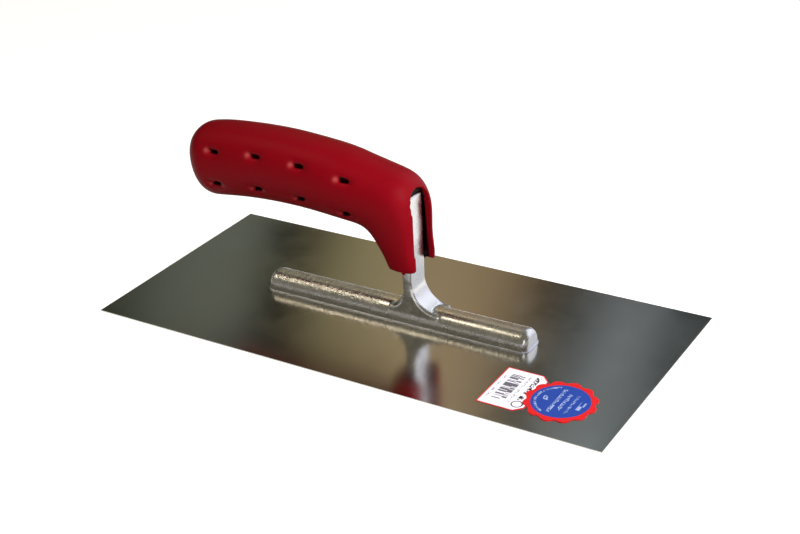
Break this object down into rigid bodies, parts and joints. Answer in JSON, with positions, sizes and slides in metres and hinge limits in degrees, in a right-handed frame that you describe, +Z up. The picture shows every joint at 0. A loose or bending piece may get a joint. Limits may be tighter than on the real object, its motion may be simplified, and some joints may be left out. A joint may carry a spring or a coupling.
{
  "type": "steel finishing trowel",
  "caption": "Flat rectangular steel finishing trowel blade with a cast aluminium spine and shank, and an arched hollow soft-plastic grip slotted at the front and vented along its sides.",
  "frame": {"origin": "middle of the blade's working face", "axes": "+X along the blade towards the end that the shank stands nearest, +Y across the blade, +Z up from the working face to the grip"},
  "size_m": [0.28, 0.13, 0.0895],
  "materials": {
    "blade_steel": "satin",
    "cast_aluminium": "polished casting",
    "soft_grip": "satin",
    "rivet_steel": "satin",
    "label_paper": "matte",
    "seal_paper": "satin"
  },
  "bodies": {
    "root": {"blade": "blade_steel", "mounting": "cast_aluminium", "grip": "soft_grip", "rivets": "rivet_steel", "paper_label": "label_paper", "round_seal": "seal_paper"}
  },
  "joints": []
}
